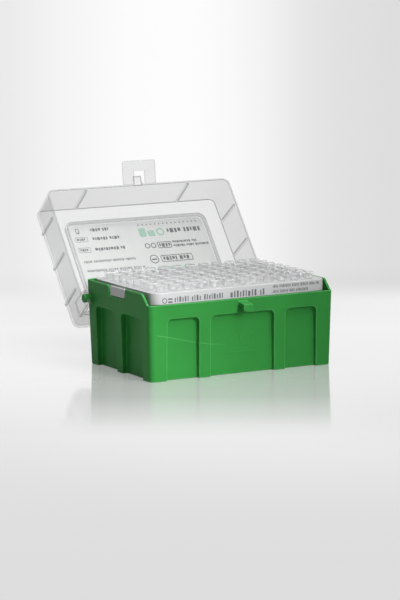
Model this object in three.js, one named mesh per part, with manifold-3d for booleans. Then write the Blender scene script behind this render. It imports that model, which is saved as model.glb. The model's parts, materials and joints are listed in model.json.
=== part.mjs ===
// A hinged box of pipette tips: a green box with a white tray of 96 tips, a clear lid standing open
// on two pins, and a clear latch flap on the lid's front rim.
// Millimetres, +Z up, +Y to the back. The origin is the centre of the box's underside.
// The lid and the flap are drawn closed and then turned about their own hinge lines.
import * as THREE from 'three';
import { mergeVertices } from 'three/addons/utils/BufferGeometryUtils.js';
import Module from 'manifold-3d';

const wasm = await Module();
wasm.setup();

// Fineness of round corners, small arcs and full rounds
const CORNER_STEPS = 5;
const PANEL_STEPS = 4;
const ROUND_STEPS = 24;

// Rack grid
const PITCH = 9;
const COLUMNS = 12;
const ROWS = 8;
const GRID_Y = 0.8;
const TRAY_MARGIN_X = 8.2;
const TRAY_MARGIN_Y = 7;

// Box
const SIDE_RIM_Z = 50.65;
const FRONT_RIM_DROP = 6.05;
const BASE_DRAFT = 1.5;
const BASE_CORNER = 3.4;
const BASE_WALL = 1.5;
const FLOOR = 1.6;
const RIM_SLOPE_BOTTOM = 3.2;
const RIM_SLOPE_RUN = 6.5;
const NOTCH_WIDTH = 21.4;
const NOTCH_SHIFT = 0.7;
const NOTCH_CORNER = 1;

// Recessed panels of the box
const PANEL_DROP = 8.6;
const PANEL_CORNER = 3;
const FRONT_PANEL_DEPTH = 3.5;
const SIDE_PANEL_DEPTH = 4;
const MIDDLE_PANEL_WIDTH = 42;
const FRONT_PILASTER = 7.7;
const FRONT_CORNER_PILASTER = 11.9;
const SIDE_PILASTER = 7;
const SIDE_CORNER_PILASTER = 11.7;

// Catch on the box's front
const HOOK_WIDTH = 5.9;
const HOOK_REACH = 6.7;
const HOOK_DROP = 1.7;
const HOOK_FALL = 1;
const HOOK_ARM = 2;
const LIP = 1.6;
const LIP_DROP = 4.9;

// Hinge
const PIN_RADIUS = 2.5;
const PIN_INSET = 3.9;
const PIN_DROP = 11.05;
const PIN_END_CLEARANCE = 1;
const CLIP_CLEARANCE = 0.35;
const CLIP_WALL = 2.15;
const CLIP_THICKNESS = 2.2;
const JAW_DROP = 2.3;
const LID_OPEN_ANGLE = 128;

// Tray
const TRAY_SIDE_GAP = 3.7;
const TRAY_FRONT_GAP = 2.2;
const TRAY_RISE = 0.65;
const TRAY_PLATE = 1.7;
const TRAY_WALL = 1.3;
const TRAY_CORNER = 6.5;
const HOLE_CLEARANCE = 0.45;
const TAB_WIDTH = 18;
const TAB_GAP = 0.4;
const TAB_PLATE = 1.3;

// Tips
const TIP_SIDES = 6;
const TIP_FLOOR_GAP = 8.2;
const COLLAR_HEIGHT = 4;
const COLLAR_RADIUS = 3.3;
const SHANK_RADIUS = 2.3;
const TIP_BORE = 2.2;
const END_RADIUS = 0.6;
const END_BORE = 0.3;
const WEB = 0.8;

// Lid
const LID_SIDE_GAP = 0.6;
const LID_FRONT_GAP = 1;
const LID_BACK_GAP = 0.4;
const LID_WALL = 1.1;
const LID_RIM_GAP = 0.2;
const LID_HEIGHT = 23.2;
const LID_DRAFT = 1.9;
const LID_CORNER = 4.5;
const BACK_WALL_GAP = 0.65;
const BACK_CUT_INSET = 2;
const PLATEAU_MARGIN_X = 14.35;
const PLATEAU_OFFSET_X = 3.05;
const PLATEAU_MARGIN_Y = 10.3;
const PLATEAU_RISE = 3;
const PLATEAU_CORNER = 5;
const RIB_WIDTH = 1.6;
const RIB_RISE = 0.8;
const RIB_FOOT = 4;
const LEFT_RIB_INSET = 28.5;
const RIGHT_RIB_INSET = 27;
const SIDE_RIB_INSET = 17.5;
const TONGUE_WIDTH = 5.4;
const TONGUE_REACH = 5;
const TONGUE_FALL = 1.4;
const TONGUE_THICKNESS = 1.2;
const TONGUE_ROOT = 2.2;

// Label
const LABEL_MARGIN = 1;
const LABEL_THICKNESS = 0.3;
const TURNED_GAP = 0.3;

// Latch flap
const FLAP_WIDTH = 22.7;
const FLAP_LENGTH = 14.5;
const FLAP_THICKNESS = 1.2;
const FLAP_CORNER = 1.2;
const WINDOW_GAP = 0.65;
const WINDOW_LIP_GAP = 0.4;
const FLAP_REST_ANGLE = 56;

// Places worked out from the sizes above
const OVERSHOOT = 5;
const TRAY_WIDTH = (COLUMNS - 1) * PITCH + 2 * TRAY_MARGIN_X;
const TRAY_DEPTH = (ROWS - 1) * PITCH + 2 * TRAY_MARGIN_Y;
const BASE_WIDTH = TRAY_WIDTH + 2 * TRAY_SIDE_GAP;
const BASE_DEPTH = TRAY_DEPTH + 2 * TRAY_FRONT_GAP;
const FRONT_RIM_Z = SIDE_RIM_Z - FRONT_RIM_DROP;
const PANEL_TOP = FRONT_RIM_Z - PANEL_DROP;
const OUTER_PANEL_WIDTH = BASE_WIDTH / 2 - FRONT_CORNER_PILASTER - FRONT_PILASTER - MIDDLE_PANEL_WIDTH / 2;
const SIDE_PANEL_WIDTH = BASE_DEPTH / 2 - SIDE_CORNER_PILASTER - SIDE_PILASTER / 2;
const HOOK_TOP = FRONT_RIM_Z - HOOK_DROP;
const LIP_BOTTOM = HOOK_TOP - LIP_DROP;
const PIN_Z = SIDE_RIM_Z - PIN_DROP;
const TRAY_TOP = SIDE_RIM_Z + TRAY_RISE;
const TIP_LENGTH = TRAY_TOP + COLLAR_HEIGHT - FLOOR - TIP_FLOOR_GAP;
const BACK_WALL_BOTTOM = SIDE_RIM_Z + BACK_WALL_GAP;
const slope = (degrees) => Math.tan(THREE.MathUtils.degToRad(degrees));
const baseHalfWidth = (z) => BASE_WIDTH / 2 - (SIDE_RIM_Z - z) * slope(BASE_DRAFT);
const baseHalfDepth = (z) => BASE_DEPTH / 2 - (SIDE_RIM_Z - z) * slope(BASE_DRAFT);
const PIN_Y = BASE_DEPTH / 2 - PIN_INSET;
const EAR_X = BASE_WIDTH / 2 + LID_SIDE_GAP;
const PIN_END = EAR_X + CLIP_THICKNESS + PIN_END_CLEARANCE;
const LEDGE_Z = PANEL_TOP + BASE_WALL;
const TAB_OUTER_X = baseHalfWidth(FRONT_RIM_Z);
const TAB_BOTTOM = FRONT_RIM_Z + TAB_GAP;
const RIM_Z = FRONT_RIM_Z + LID_RIM_GAP;
const LID_TOP = RIM_Z + LID_HEIGHT;
const LID_BACK = BASE_DEPTH / 2 + LID_BACK_GAP + LID_WALL;
const LID_FRONT = -(BASE_DEPTH / 2 + LID_FRONT_GAP + LID_WALL);
const LID_WIDTH = BASE_WIDTH + 2 * (LID_SIDE_GAP + LID_WALL);
const LID_DEPTH = LID_BACK - LID_FRONT;
const LID_Y = (LID_BACK + LID_FRONT) / 2;
const PLATEAU_WIDTH = LID_WIDTH - 2 * PLATEAU_MARGIN_X;
const PLATEAU_DEPTH = LID_DEPTH - 2 * PLATEAU_MARGIN_Y;
const LEFT_RIB_X = -(LID_WIDTH / 2 - LEFT_RIB_INSET);
const RIGHT_RIB_X = LID_WIDTH / 2 - RIGHT_RIB_INSET;
const SIDE_RIB_Y = LID_DEPTH / 2 - SIDE_RIB_INSET;
const HOOK_FRONT = -(baseHalfDepth(HOOK_TOP) + HOOK_REACH);
const FLAP_Y = LID_FRONT + FLAP_THICKNESS / 2;
const FLAP_AXIS_Z = RIM_Z - FLAP_THICKNESS / 2 - TURNED_GAP;
const WINDOW_WIDTH = HOOK_WIDTH + 2 * WINDOW_GAP;
const WINDOW_LENGTH = Math.hypot(FLAP_Y - HOOK_FRONT, FLAP_AXIS_Z - LIP_BOTTOM) + WINDOW_LIP_GAP;

// ---- Shapes and solids ----

function toSolid(geometry) {
  const bare = geometry.index ? geometry.toNonIndexed() : geometry.clone();
  bare.deleteAttribute('normal');
  bare.deleteAttribute('uv');
  const merged = mergeVertices(bare, 1e-4);
  return new wasm.Manifold(new wasm.Mesh({
    numProp: 3,
    vertProperties: new Float32Array(merged.attributes.position.array),
    triVerts: new Uint32Array(merged.index.array),
  }));
}

function toGeometry(solid) {
  const mesh = solid.getMesh();
  const geometry = new THREE.BufferGeometry();
  geometry.setAttribute('position', new THREE.BufferAttribute(new Float32Array(mesh.vertProperties), 3));
  geometry.setIndex(new THREE.BufferAttribute(new Uint32Array(mesh.triVerts), 1));
  geometry.computeVertexNormals();
  return geometry;
}

function roundedRectangle(width, depth, radius) {
  const x = width / 2 - radius;
  const y = depth / 2 - radius;
  const shape = new THREE.Shape();
  shape.absarc(x, y, radius, 0, Math.PI / 2);
  shape.absarc(-x, y, radius, Math.PI / 2, Math.PI);
  shape.absarc(-x, -y, radius, Math.PI, 1.5 * Math.PI);
  shape.absarc(x, -y, radius, 1.5 * Math.PI, 2 * Math.PI);
  shape.closePath();
  return shape;
}

// A block whose plan is width x depth at z0 and grows on every side by the slope up to z1.
function draftedBlock(width, depth, radius, z0, z1, degrees) {
  const shape = roundedRectangle(width, depth, radius);
  const options = { depth: z1 - z0, bevelEnabled: false, curveSegments: CORNER_STEPS };
  const geometry = new THREE.ExtrudeGeometry(shape, options);
  const position = geometry.attributes.position;
  for (let i = 0; i < position.count; i += 1) {
    const spread = position.getZ(i) * slope(degrees);
    position.setX(i, position.getX(i) + Math.sign(position.getX(i)) * spread);
    position.setY(i, position.getY(i) + Math.sign(position.getY(i)) * spread);
  }
  return toSolid(geometry.translate(0, 0, z0));
}

function box(x0, x1, y0, y1, z0, z1) {
  const geometry = new THREE.BoxGeometry(x1 - x0, y1 - y0, z1 - z0);
  return toSolid(geometry.translate((x0 + x1) / 2, (y0 + y1) / 2, (z0 + z1) / 2));
}

// Extrudes a shape drawn in (y, z) along x.
function alongX(shape, x0, x1, curveSegments = CORNER_STEPS) {
  const options = { depth: x1 - x0, bevelEnabled: false, curveSegments };
  const geometry = new THREE.ExtrudeGeometry(shape, options);
  geometry.applyMatrix4(new THREE.Matrix4().set(0, 0, 1, x0, 1, 0, 0, 0, 0, 1, 0, 0, 0, 0, 0, 1));
  return toSolid(geometry);
}

// Extrudes a shape drawn in (x, z) along y.
function alongY(shape, y0, y1) {
  const options = { depth: y1 - y0, bevelEnabled: false, curveSegments: PANEL_STEPS };
  const geometry = new THREE.ExtrudeGeometry(shape, options);
  return toSolid(geometry.rotateX(Math.PI / 2).translate(0, y1, 0));
}

function polygon(points) {
  return new THREE.Shape(points.map(([u, v]) => new THREE.Vector2(u, v)));
}

// An upright panel with rounded upper corners, from below the underside up to top.
function panelShape(width, top, radius) {
  const half = width / 2;
  const shape = new THREE.Shape();
  shape.moveTo(half, -OVERSHOOT);
  shape.lineTo(half, top - radius);
  shape.absarc(half - radius, top - radius, radius, 0, Math.PI / 2);
  shape.absarc(-half + radius, top - radius, radius, Math.PI / 2, Math.PI);
  shape.lineTo(-half, -OVERSHOOT);
  shape.closePath();
  return shape;
}

// ---- Box ----

// Panels of the front and back (grown by a wall when margin is set), then of the two sides.
function panelBlocks(margin) {
  const outerX = MIDDLE_PANEL_WIDTH / 2 + FRONT_PILASTER + OUTER_PANEL_WIDTH / 2;
  const sideY = SIDE_PILASTER / 2 + SIDE_PANEL_WIDTH / 2;
  const frontFace = baseHalfDepth(PANEL_TOP) - FRONT_PANEL_DEPTH - margin;
  const sideFace = baseHalfWidth(PANEL_TOP) - SIDE_PANEL_DEPTH - margin;
  const blocks = [];
  const panels = [[-outerX, OUTER_PANEL_WIDTH], [0, MIDDLE_PANEL_WIDTH], [outerX, OUTER_PANEL_WIDTH]];
  for (const [x, width] of panels) {
    const shape = panelShape(width + 2 * margin, PANEL_TOP + margin, PANEL_CORNER + margin);
    const block = alongY(shape, frontFace, BASE_DEPTH / 2 + OVERSHOOT).translate([x, 0, 0]);
    blocks.push(block, block.rotate([0, 0, 180]));
  }
  for (const y of [-sideY, sideY]) {
    const shape = panelShape(SIDE_PANEL_WIDTH + 2 * margin, PANEL_TOP + margin, PANEL_CORNER + margin);
    const block = alongX(shape, sideFace, BASE_WIDTH / 2 + OVERSHOOT, PANEL_STEPS).translate([0, y, 0]);
    blocks.push(block, block.rotate([0, 0, 180]));
  }
  return blocks.reduce((all, block) => all.add(block));
}

// The low front rim and the slope up to the side walls.
function frontRimCut() {
  const front = -(BASE_DEPTH / 2 + OVERSHOOT);
  const foot = -(BASE_DEPTH / 2 - RIM_SLOPE_BOTTOM);
  const top = SIDE_RIM_Z + OVERSHOOT;
  const rise = SIDE_RIM_Z - FRONT_RIM_Z;
  const headY = foot + RIM_SLOPE_RUN * (top - FRONT_RIM_Z) / rise;
  const shape = polygon([[front, FRONT_RIM_Z], [foot, FRONT_RIM_Z], [headY, top], [front, top]]);
  return alongX(shape, -BASE_WIDTH, BASE_WIDTH);
}

// The notch in each side wall, with rounded lower corners.
function notchCut() {
  const front = NOTCH_SHIFT - NOTCH_WIDTH / 2;
  const back = NOTCH_SHIFT + NOTCH_WIDTH / 2;
  const low = FRONT_RIM_Z;
  const shape = new THREE.Shape();
  shape.moveTo(back, SIDE_RIM_Z + OVERSHOOT);
  shape.lineTo(front, SIDE_RIM_Z + OVERSHOOT);
  shape.absarc(front + NOTCH_CORNER, low + NOTCH_CORNER, NOTCH_CORNER, Math.PI, 1.5 * Math.PI);
  shape.absarc(back - NOTCH_CORNER, low + NOTCH_CORNER, NOTCH_CORNER, 1.5 * Math.PI, 2 * Math.PI);
  shape.closePath();
  return alongX(shape, -BASE_WIDTH, BASE_WIDTH, PANEL_STEPS);
}

function hook() {
  const root = -(baseHalfDepth(HOOK_TOP) - BASE_WALL / 2);
  const shape = polygon([
    [root, HOOK_TOP], [HOOK_FRONT, HOOK_TOP - HOOK_FALL], [HOOK_FRONT, LIP_BOTTOM],
    [HOOK_FRONT + LIP, LIP_BOTTOM], [HOOK_FRONT + LIP, HOOK_TOP - HOOK_FALL - HOOK_ARM],
    [root, HOOK_TOP - HOOK_ARM],
  ]);
  return alongX(shape, -HOOK_WIDTH / 2, HOOK_WIDTH / 2);
}

function hingePin(side) {
  const start = baseHalfWidth(PIN_Z) - BASE_WALL / 2;
  const geometry = new THREE.CylinderGeometry(PIN_RADIUS, PIN_RADIUS, PIN_END - start, ROUND_STEPS);
  geometry.rotateZ(Math.PI / 2).translate(side * (start + PIN_END) / 2, PIN_Y, PIN_Z);
  return toSolid(geometry);
}

function baseSolid() {
  const width = 2 * baseHalfWidth(0);
  const depth = 2 * baseHalfDepth(0);
  const outer = draftedBlock(width, depth, BASE_CORNER, 0, SIDE_RIM_Z, BASE_DRAFT);
  const grown = 2 * FLOOR * slope(BASE_DRAFT) - 2 * BASE_WALL;
  const cavity = draftedBlock(
    width + grown, depth + grown, BASE_CORNER - BASE_WALL, FLOOR, SIDE_RIM_Z + OVERSHOOT, BASE_DRAFT,
  );
  return outer
    .subtract(cavity.subtract(panelBlocks(BASE_WALL)))
    .subtract(panelBlocks(0))
    .subtract(frontRimCut())
    .subtract(notchCut())
    .add(hook())
    .add(hingePin(-1))
    .add(hingePin(1));
}

// ---- Tray ----

// A closed ring turned from an (r, z) loop with the tips' number of sides.
function turned(loop) {
  const points = [...loop, loop[0]].map(([r, z]) => new THREE.Vector2(r, z));
  return new THREE.LatheGeometry(points, TIP_SIDES).rotateX(Math.PI / 2);
}

function gridX(column) {
  return (column - (COLUMNS - 1) / 2) * PITCH;
}

function gridY(row) {
  return ((ROWS - 1) / 2 - row) * PITCH + GRID_Y;
}

function holeShape(x, y) {
  const path = new THREE.Path();
  for (let i = 0; i < TIP_SIDES; i += 1) {
    const angle = (2 * Math.PI * i) / TIP_SIDES;
    const radius = SHANK_RADIUS + HOLE_CLEARANCE;
    path[i ? 'lineTo' : 'moveTo'](x + radius * Math.sin(angle), y + radius * Math.cos(angle));
  }
  path.closePath();
  return path;
}

function trayPlate() {
  const shape = roundedRectangle(TRAY_WIDTH, TRAY_DEPTH, TRAY_CORNER);
  for (let column = 0; column < COLUMNS; column += 1) {
    for (let row = 0; row < ROWS; row += 1) shape.holes.push(holeShape(gridX(column), gridY(row)));
  }
  const options = { depth: TRAY_PLATE, bevelEnabled: false, curveSegments: CORNER_STEPS };
  const geometry = new THREE.ExtrudeGeometry(shape, options);
  return toSolid(geometry.translate(0, 0, TRAY_TOP - TRAY_PLATE));
}

// The tab that fills the box's notch: a foot from the skirt and an upright plate flush with the wall.
function trayTab(side) {
  const inner = TRAY_WIDTH / 2 - TRAY_WALL / 2;
  const half = TAB_WIDTH / 2;
  const shape = polygon([
    [inner, TAB_BOTTOM], [TAB_OUTER_X, TAB_BOTTOM], [TAB_OUTER_X, SIDE_RIM_Z],
    [TAB_OUTER_X - TAB_PLATE, SIDE_RIM_Z], [TAB_OUTER_X - TAB_PLATE, TAB_BOTTOM + TAB_PLATE],
    [inner, TAB_BOTTOM + TAB_PLATE],
  ]);
  const tab = alongY(shape, -half, half);
  return side > 0 ? tab : tab.rotate([0, 0, 180]);
}

function traySolid() {
  const skirtHeight = TRAY_TOP - TRAY_PLATE / 2;
  const outer = draftedBlock(TRAY_WIDTH, TRAY_DEPTH, TRAY_CORNER, LEDGE_Z, skirtHeight, 0);
  const inner = draftedBlock(
    TRAY_WIDTH - 2 * TRAY_WALL, TRAY_DEPTH - 2 * TRAY_WALL, TRAY_CORNER - TRAY_WALL,
    LEDGE_Z - OVERSHOOT, SIDE_RIM_Z + OVERSHOOT, 0,
  );
  return outer.subtract(inner).add(trayPlate()).add(trayTab(-1)).add(trayTab(1));
}

// ---- Tips ----

function tipSolid() {
  return toSolid(turned([
    [END_BORE, COLLAR_HEIGHT - TIP_LENGTH], [END_RADIUS, COLLAR_HEIGHT - TIP_LENGTH], [SHANK_RADIUS, 0],
    [COLLAR_RADIUS, 0], [COLLAR_RADIUS, COLLAR_HEIGHT], [TIP_BORE, COLLAR_HEIGHT],
  ]));
}

// One column of the rack: its tips hang by their collars and are joined by a thin web at the collars.
function tipColumnSolid(column) {
  const overlap = (COLLAR_RADIUS - TIP_BORE) / 2;
  const tip = tipSolid();
  let solid = null;
  for (let row = 0; row < ROWS; row += 1) {
    const placed = tip.translate([gridX(column), gridY(row), TRAY_TOP]);
    solid = solid ? solid.add(placed) : placed;
    if (row === 0) continue;
    const y0 = gridY(row) + COLLAR_RADIUS - overlap;
    const y1 = gridY(row - 1) - COLLAR_RADIUS + overlap;
    const x = gridX(column);
    solid = solid.add(box(x - WEB / 2, x + WEB / 2, y0, y1, TRAY_TOP, TRAY_TOP + WEB));
  }
  return solid;
}

// ---- Lid, drawn closed ----

function lidBlock(growth, z0, z1) {
  const inset = (z0 - RIM_Z) * slope(LID_DRAFT) - growth;
  return draftedBlock(
    LID_WIDTH - 2 * inset, LID_DEPTH - 2 * inset, LID_CORNER + growth, z0, z1, -LID_DRAFT,
  ).translate([0, LID_Y, 0]);
}

function plateauBlock(inset, z0, z1) {
  return draftedBlock(
    PLATEAU_WIDTH - 2 * inset, PLATEAU_DEPTH - 2 * inset, PLATEAU_CORNER - inset, z0, z1, 0,
  ).translate([PLATEAU_OFFSET_X, LID_Y, 0]);
}

// Upright ribs outside the four walls.
function ribs() {
  const half = RIB_WIDTH / 2;
  const far = LID_WIDTH;
  const strips = [];
  for (const x of [LEFT_RIB_X, RIGHT_RIB_X]) {
    strips.push(box(x - half, x + half, -far, far, RIM_Z, LID_TOP));
  }
  for (const y of [-SIDE_RIB_Y, 0, SIDE_RIB_Y]) {
    strips.push(box(-far, far, y - half, y + half, RIM_Z, LID_TOP));
  }
  const allStrips = strips.reduce((all, strip) => all.add(strip));
  return lidBlock(RIB_RISE, RIM_Z + RIB_FOOT, LID_TOP).intersect(allStrips);
}

// The tongue on the front rim, which stands behind the flap's window and above the catch.
function tongue() {
  const root = LID_FRONT + LID_WALL / 2;
  const tip = LID_FRONT - TONGUE_REACH;
  const low = RIM_Z - TONGUE_FALL;
  const shape = polygon([
    [root, RIM_Z], [tip, low], [tip, low + TONGUE_THICKNESS], [root, RIM_Z + TONGUE_ROOT],
  ]);
  return alongX(shape, -TONGUE_WIDTH / 2, TONGUE_WIDTH / 2);
}

// The ear that carries a C-shaped clip round the pin, open away from the plate.
function ear(side) {
  const radius = PIN_RADIUS + CLIP_CLEARANCE + CLIP_WALL;
  const jawZ = PIN_Z - JAW_DROP;
  const low = Math.asin(JAW_DROP / radius);
  const shape = new THREE.Shape();
  shape.moveTo(PIN_Y + radius, BACK_WALL_BOTTOM + 2 * LID_WALL);
  shape.lineTo(PIN_Y - radius, BACK_WALL_BOTTOM + 2 * LID_WALL);
  shape.absarc(PIN_Y, PIN_Z, radius, Math.PI, Math.PI + low);
  shape.lineTo(PIN_Y, jawZ);
  shape.absarc(PIN_Y, PIN_Z, radius, 2 * Math.PI - low, 2 * Math.PI);
  shape.closePath();
  const bore = new THREE.Shape().absarc(PIN_Y, PIN_Z, PIN_RADIUS + CLIP_CLEARANCE, 0, 2 * Math.PI);
  const plate = alongX(shape, EAR_X, EAR_X + CLIP_THICKNESS)
    .subtract(alongX(bore, EAR_X - 1, EAR_X + CLIP_THICKNESS + 1, ROUND_STEPS));
  return side > 0 ? plate : plate.mirror([1, 0, 0]);
}

function lidSolid() {
  const shell = lidBlock(0, RIM_Z, LID_TOP)
    .add(plateauBlock(0, LID_TOP - LID_WALL, LID_TOP + PLATEAU_RISE))
    .add(ribs())
    .add(tongue())
    .subtract(lidBlock(-LID_WALL, RIM_Z - OVERSHOOT, LID_TOP - LID_WALL))
    .subtract(plateauBlock(LID_WALL, LID_TOP - 2 * LID_WALL, LID_TOP + PLATEAU_RISE - LID_WALL));
  const backCut = box(
    -LID_WIDTH, LID_WIDTH, BASE_DEPTH / 2 - BACK_CUT_INSET, LID_BACK + OVERSHOOT,
    RIM_Z - OVERSHOOT, BACK_WALL_BOTTOM,
  );
  return shell.subtract(backCut).add(ear(-1)).add(ear(1));
}

function labelSolid() {
  const z0 = LID_TOP + PLATEAU_RISE + TURNED_GAP;
  return plateauBlock(LABEL_MARGIN, z0, z0 + LABEL_THICKNESS);
}

// ---- Latch flap, drawn hanging straight down from its hinge line at the origin ----

function flapSolid() {
  const half = FLAP_WIDTH / 2;
  const gap = WINDOW_WIDTH / 2;
  const shape = new THREE.Shape();
  shape.moveTo(half, 0);
  shape.lineTo(gap, 0);
  shape.lineTo(gap, -WINDOW_LENGTH);
  shape.lineTo(-gap, -WINDOW_LENGTH);
  shape.lineTo(-gap, 0);
  shape.lineTo(-half, 0);
  shape.absarc(-half + FLAP_CORNER, -FLAP_LENGTH + FLAP_CORNER, FLAP_CORNER, Math.PI, 1.5 * Math.PI);
  shape.absarc(half - FLAP_CORNER, -FLAP_LENGTH + FLAP_CORNER, FLAP_CORNER, 1.5 * Math.PI, 2 * Math.PI);
  shape.closePath();
  return alongY(shape, -FLAP_THICKNESS / 2, FLAP_THICKNESS / 2);
}

// ---- Assembly ----

const green = new THREE.MeshStandardMaterial({ color: 0x35883b, roughness: 0.42, metalness: 0 });
const white = new THREE.MeshStandardMaterial({ color: 0xe9ebea, roughness: 0.5, metalness: 0 });
const tipClear = new THREE.MeshStandardMaterial({ color: 0xdfe4e4, roughness: 0.3, metalness: 0 });
const lidClear = new THREE.MeshStandardMaterial({ color: 0xd3d8da, roughness: 0.25, metalness: 0 });
const paper = new THREE.MeshStandardMaterial({ color: 0xeeefee, roughness: 0.6, metalness: 0 });

function named(name, solid, material) {
  const mesh = new THREE.Mesh(toGeometry(solid), material);
  mesh.name = name;
  return mesh;
}

function buildLatch() {
  const latch = new THREE.Group();
  latch.position.set(0, FLAP_Y - PIN_Y, FLAP_AXIS_Z - PIN_Z);
  latch.rotation.x = -THREE.MathUtils.degToRad(FLAP_REST_ANGLE);
  latch.add(named('latch_flap', flapSolid(), lidClear));
  return latch;
}

function buildLid() {
  const lid = new THREE.Group();
  const toPin = [0, -PIN_Y, -PIN_Z];
  lid.position.set(0, PIN_Y, PIN_Z);
  lid.rotation.x = -THREE.MathUtils.degToRad(LID_OPEN_ANGLE);
  lid.add(named('lid', lidSolid().translate(toPin), lidClear));
  lid.add(named('label', labelSolid().translate(toPin), paper));
  lid.add(buildLatch());
  return lid;
}

function buildBox() {
  const group = new THREE.Group();
  group.add(named('base', baseSolid(), green));
  group.add(named('tray', traySolid(), white));
  for (let column = 0; column < COLUMNS; column += 1) {
    const name = `tip_column_${String(column + 1).padStart(2, '0')}`;
    group.add(named(name, tipColumnSolid(column), tipClear));
  }
  group.add(buildLid());
  return group;
}

export default buildBox();
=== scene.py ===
"""A hinged box of pipette tips with its clear lid standing open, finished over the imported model."""

import json
import math

import bpy
from mathutils import Matrix, Quaternion, Vector

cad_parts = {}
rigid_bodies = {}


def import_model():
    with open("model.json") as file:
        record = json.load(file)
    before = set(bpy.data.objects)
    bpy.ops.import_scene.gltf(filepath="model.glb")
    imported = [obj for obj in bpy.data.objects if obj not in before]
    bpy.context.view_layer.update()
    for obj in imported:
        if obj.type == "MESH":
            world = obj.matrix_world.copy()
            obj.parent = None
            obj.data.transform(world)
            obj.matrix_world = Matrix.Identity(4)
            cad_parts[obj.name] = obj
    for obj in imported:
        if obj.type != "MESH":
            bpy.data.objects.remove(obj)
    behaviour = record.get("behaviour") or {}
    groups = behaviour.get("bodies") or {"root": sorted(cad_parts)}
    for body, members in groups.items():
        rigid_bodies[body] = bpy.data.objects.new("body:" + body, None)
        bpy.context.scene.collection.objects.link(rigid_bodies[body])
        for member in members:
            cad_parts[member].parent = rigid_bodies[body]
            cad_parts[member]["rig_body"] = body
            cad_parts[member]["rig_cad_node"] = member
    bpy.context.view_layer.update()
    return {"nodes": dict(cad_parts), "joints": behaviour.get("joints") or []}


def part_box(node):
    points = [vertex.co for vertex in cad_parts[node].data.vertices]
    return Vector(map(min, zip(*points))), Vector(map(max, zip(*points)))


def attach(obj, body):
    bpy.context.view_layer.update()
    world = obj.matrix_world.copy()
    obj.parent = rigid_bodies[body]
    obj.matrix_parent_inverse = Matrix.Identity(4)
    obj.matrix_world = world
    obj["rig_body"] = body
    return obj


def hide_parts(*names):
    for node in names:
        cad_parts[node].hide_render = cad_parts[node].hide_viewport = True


MM = 0.001

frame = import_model()
bpy.ops.object.select_all(action="DESELECT")

hinges = {joint["name"]: joint for joint in frame["joints"]}
LID_OPEN = math.radians(hinges["lid_hinge"]["range_deg"][1])
PIN = Vector(hinges["lid_hinge"]["pos_m"])
FLAP_AXIS = Vector(hinges["latch_hinge"]["pos_m"])
COLUMNS = sorted(name for name in frame["nodes"] if name.startswith("tip_column_"))

# Tip rack
PITCH = 9 * MM
ROW_LETTERS = "ABCDEFGH"

# One tip, from its end up; the seat is the collar's underside
TIP_SIDES = 14
TIP_END_RADIUS = 0.6 * MM
BORE_END_RADIUS = 0.3 * MM
SHANK_RADIUS = 2.3 * MM
SHANK_BELOW_SEAT = 1 * MM
BORE_RADIUS = 1.8 * MM
COLLAR_HEIGHT = 4 * MM
SEAT_EDGE = 0.1 * MM
NECK_RADIUS = 2.95 * MM
COLLAR_RADIUS = 3.3 * MM
RIM_HEIGHT = 0.9 * MM
RIM_EDGE = 0.2 * MM
MOUTH_RADIUS = 2.4 * MM

# Rounded edges of the moulded parts, and of the label
BOX_EDGE = 0.45 * MM
TRAY_EDGE = 0.45 * MM
LID_EDGE = 0.3 * MM
FLAP_EDGE = 0.2 * MM
LABEL_EDGE = 0.08 * MM

# How strongly the painted dark line on an edge of clear plastic shows, where that is less than fully
RIM_TONE = 0.6
STEP_TONE = 0.5
FLAP_TONE = 0.55
STEP_BAND = 4.5 * MM

# The flap's fold
CREASE_HEIGHT = 4.2 * MM
CREASE_HALF = 0.8 * MM
CREASE_THINNED = 0.78

# Cleaning up a mesh
TOUCHING = 0.002 * MM
SAME_HEIGHT = 0.01 * MM
SAME_PLANE = math.radians(0.5)
UPRIGHT = 0.5
SHARP = math.radians(30)
SMOOTH_UP_TO = math.radians(32)
TIP_SMOOTH_UP_TO = math.radians(40)

# Raised mark on the box's front
PANEL_REACH = 15 * MM
FACES_FRONT = -0.9
EMBLEM_PROUD = 0.16 * MM
EMBLEM_EDGE = 0.04 * MM

# Printed marks: sizes in millimetres, and shares of a block's height or side
INK_PROUD = 0.03 * MM
INK_CORNER = 0.22
BLOCK_CORNER = 0.12
OUTLINE_CORNER = 0.7
RING_SIDES = 24
MOST_ROUNDED = 0.45
BLOCK_WIDTHS = (0.24, 0.16, 0.34, 0.2, 0.28, 0.18)
BLOCKS_IN_GROUP = (6, 4, 9, 5)
BLOCK_GAP = 0.25
GROUP_GAP = 0.45
LOW_BLOCK = 0.8
NARROWEST_BLOCK = 0.2
TRAY_PRINT_WEIGHT = 1.2
LABEL_PRINT_WEIGHT = 2.4

# A group's colour sockets before a material sets them
MID_GREY = (0.5, 0.5, 0.5, 1)

# Slow changes of tone through a moulded wall
TONE_START = 0.35
TONE_RISE = 2.2

# Breaks in the painted edge tone, and the mould's texture
BREAK_SCALE = 160.0
BROAD_SCALE = 70.0
FINE_SHARE = 0.4

# The line across the box's front where two fronts of melt met
LINE_HEIGHT = 14.5 * MM
LINE_WIDTH = 0.5 * MM
LINE_FALL = 0.24
LINE_WANDER = 6 * MM
LINE_WANDER_SCALE = 60.0
LINE_BEGINS = (-58 * MM, -54 * MM)
LINE_ENDS = (-20 * MM, -6 * MM)
LINE_IN_FRONT_OF = -20 * MM
LINE_SHARE = 0.6

# Clear plastic
MILK_SHARPNESS = 2.5
EDGE_BODY = 0.8
LAMP_LIGHT_LET_BY = 0.75

# Camera
AIM = Vector((-6.40, 0, 38.71)) * MM
CAMERA_AZIMUTH = math.radians(-28.46)
CAMERA_ELEVATION = math.radians(8.67)
CAMERA_ROLL = math.radians(-0.53)
CAMERA_DISTANCE = 1637.9 * MM
LENS = 166.2
SENSOR_WIDTH = 36
NEAREST_SEEN = 0.1
FARTHEST_SEEN = 60

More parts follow.
